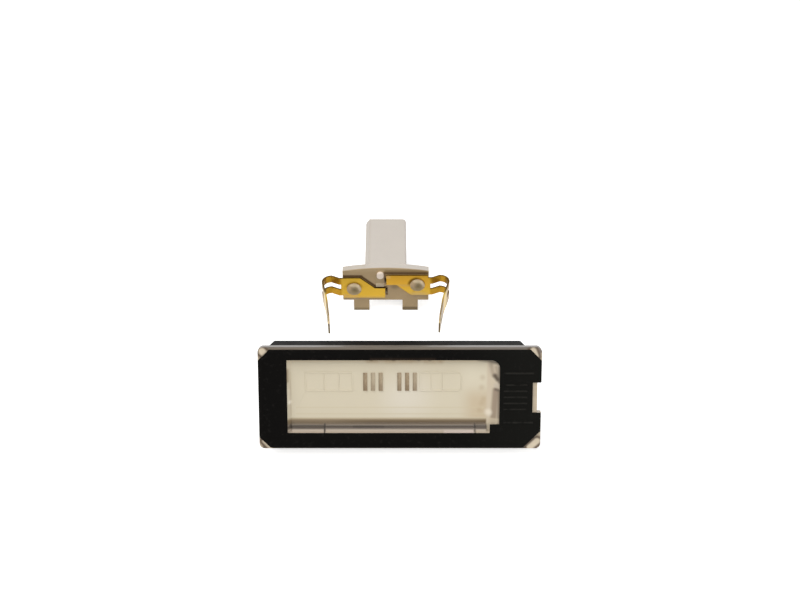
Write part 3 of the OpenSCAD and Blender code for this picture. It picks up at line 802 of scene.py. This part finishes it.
class LAMP_OT_stage(LampOperator, bpy.types.Operator):
    """Lay the floor, place the lights and aim the camera"""

    bl_idname = "lamp.stage"
    bl_label = "Stage"

    def execute(self, context):
        self.lay_floor()
        self.light_world()
        self.place_lamp("key_soft", place=(-0.25, -0.1, 0.75), size=0.7, power=4.7)
        self.place_lamp("fill_soft", place=(0.35, -0.6, 0.45), size=0.6, power=2.6)
        self.aim_camera()
        bpy.context.scene.view_settings.view_transform = "Standard"
        return {"FINISHED"}

    def lay_floor(self):
        """A pale floor that keeps the shadow and can be looked through from below."""
        mesh = bpy.data.meshes.new("floor")
        shape = bmesh.new()
        bmesh.ops.create_grid(shape, x_segments=1, y_segments=1, size=FLOOR_HALF)
        bmesh.ops.translate(shape, verts=shape.verts, vec=(0, 0, -FLOOR_GAP))
        shape.to_mesh(mesh)
        shape.free()
        floor = bpy.data.objects.new("floor", mesh)
        bpy.context.collection.objects.link(floor)
        finish = Finish(
            "floor_pale", base_color=(0.9, 0.9, 0.9), roughness=0.9, specular_ior_level=0.0)
        seen = self.seen_ray(finish)
        reach = finish.add("ShaderNodeVectorMath", {"operation": "LENGTH"}, {0: finish.place}, "Value")
        strength = seen * (FLOOR_GLOW + reach.above(GLOW_REACH, GLOW_SOFT) * (1 - FLOOR_GLOW))
        glow = finish.add("ShaderNodeEmission", {}, {"Color": (1, 1, 1), "Strength": strength})
        top = finish.add("ShaderNodeAddShader", {}, {}).socket.node
        clear = finish.add("ShaderNodeBsdfTransparent", {}, {})
        sided = finish.add("ShaderNodeMixShader", {}, {}).socket.node
        finish.feed(sided.inputs[0], finish.add("ShaderNodeNewGeometry", {}, {}, "Backfacing"))
        links = finish.tree.links
        links.new(finish.shader.outputs[0], top.inputs[0])
        links.new(glow.socket, top.inputs[1])
        links.new(top.outputs[0], sided.inputs[1])
        links.new(clear.socket, sided.inputs[2])
        links.new(sided.outputs[0], finish.tree.nodes["Material Output"].inputs["Surface"])
        mesh.materials.append(finish.material)

    def seen_ray(self, finish):
        """1 for rays that show the background: straight, mirrored or through clear plastic."""
        rays = finish.add("ShaderNodeLightPath", {}, {}, "Is Camera Ray")
        outputs = rays.socket.node.outputs
        mirrored = Value(finish, outputs["Is Glossy Ray"])
        through = Value(finish, outputs["Is Transmission Ray"])
        return rays.math("MAXIMUM", mirrored).math("MAXIMUM", through)

    def light_world(self):
        world = bpy.data.worlds.new("soft_room")
        world.use_nodes = True
        room = Tree(world.node_tree)
        background = world.node_tree.nodes["Background"]
        background.inputs["Color"].default_value = (1, 1, 1, 1)
        strength = ROOM_LIGHT + self.seen_ray(room) * (1 - ROOM_LIGHT)
        room.feed(background.inputs["Strength"], strength)
        bpy.context.scene.world = world

    def place_lamp(self, name, place, size, power):
        lamp = bpy.data.lights.new(name, "AREA")
        lamp.shape = "SQUARE"
        lamp.size = size
        lamp.energy = power
        stand = bpy.data.objects.new(name, lamp)
        stand.location = place
        stand.rotation_euler = (-Vector(place)).to_track_quat("-Z", "Y").to_euler()
        bpy.context.collection.objects.link(stand)

    def aim_camera(self):
        height = self.sizes.camera_height
        reach = self.sizes.camera_reach
        ahead = Vector((0, math.cos(height), -math.sin(height)))
        above = Vector((0, math.sin(height), math.cos(height)))
        right = Vector((1, 0, 0))
        aim = (
            LENS_MIDDLE
            + right * (PHOTO_W / 2 - LENS_PIXEL[0]) / PIXELS_PER_METRE
            + above * (LENS_PIXEL[1] - PHOTO_H / 2) / PIXELS_PER_METRE
        )
        camera = bpy.data.cameras.new("camera")
        camera.sensor_width = SENSOR
        camera.lens = PIXELS_PER_METRE * reach * SENSOR / PHOTO_W
        camera.clip_start = 0.01
        camera.dof.use_dof = False
        eye = bpy.data.objects.new("camera", camera)
        eye.location = aim - ahead * reach
        eye.rotation_euler = (math.pi / 2 - height, 0, 0)
        bpy.context.collection.objects.link(eye)
        bpy.context.scene.camera = eye


class LAMP_PT_panel(bpy.types.Panel):
    """The lamp's pieces in the sidebar"""

    bl_label = "Number plate lamp"
    bl_idname = "LAMP_PT_panel"
    bl_space_type = "VIEW_3D"
    bl_region_type = "UI"
    bl_category = "Lamp"

    def draw(self, context):
        for group in (context.scene.lamp_sizes, context.scene.lamp_colours):
            for name in group.bl_rna.properties.keys():
                if name not in ("rna_type", "name"):
                    self.layout.prop(group, name)
        for operator in OPERATORS:
            self.layout.operator(operator.bl_idname)


OPERATORS = (
    LAMP_OT_lens, LAMP_OT_seal_frame, LAMP_OT_housing, LAMP_OT_spring_clip,
    LAMP_OT_holder, LAMP_OT_contacts, LAMP_OT_stage,
)
CLASSES = (LampSizes, LampColours, *OPERATORS, LAMP_PT_panel)


def register():
    for cls in CLASSES:
        bpy.utils.register_class(cls)
    bpy.types.Scene.lamp_sizes = PointerProperty(type=LampSizes)
    bpy.types.Scene.lamp_colours = PointerProperty(type=LampColours)


def unregister():
    del bpy.types.Scene.lamp_colours
    del bpy.types.Scene.lamp_sizes
    for cls in reversed(CLASSES):
        bpy.utils.unregister_class(cls)


def main():
    register()
    bpy.ops.lamp.lens()
    bpy.ops.lamp.seal_frame()
    bpy.ops.lamp.housing()
    bpy.ops.lamp.spring_clip()
    bpy.ops.lamp.holder()
    bpy.ops.lamp.contacts()
    bpy.ops.lamp.stage()


if __name__ == "__main__":
    main()
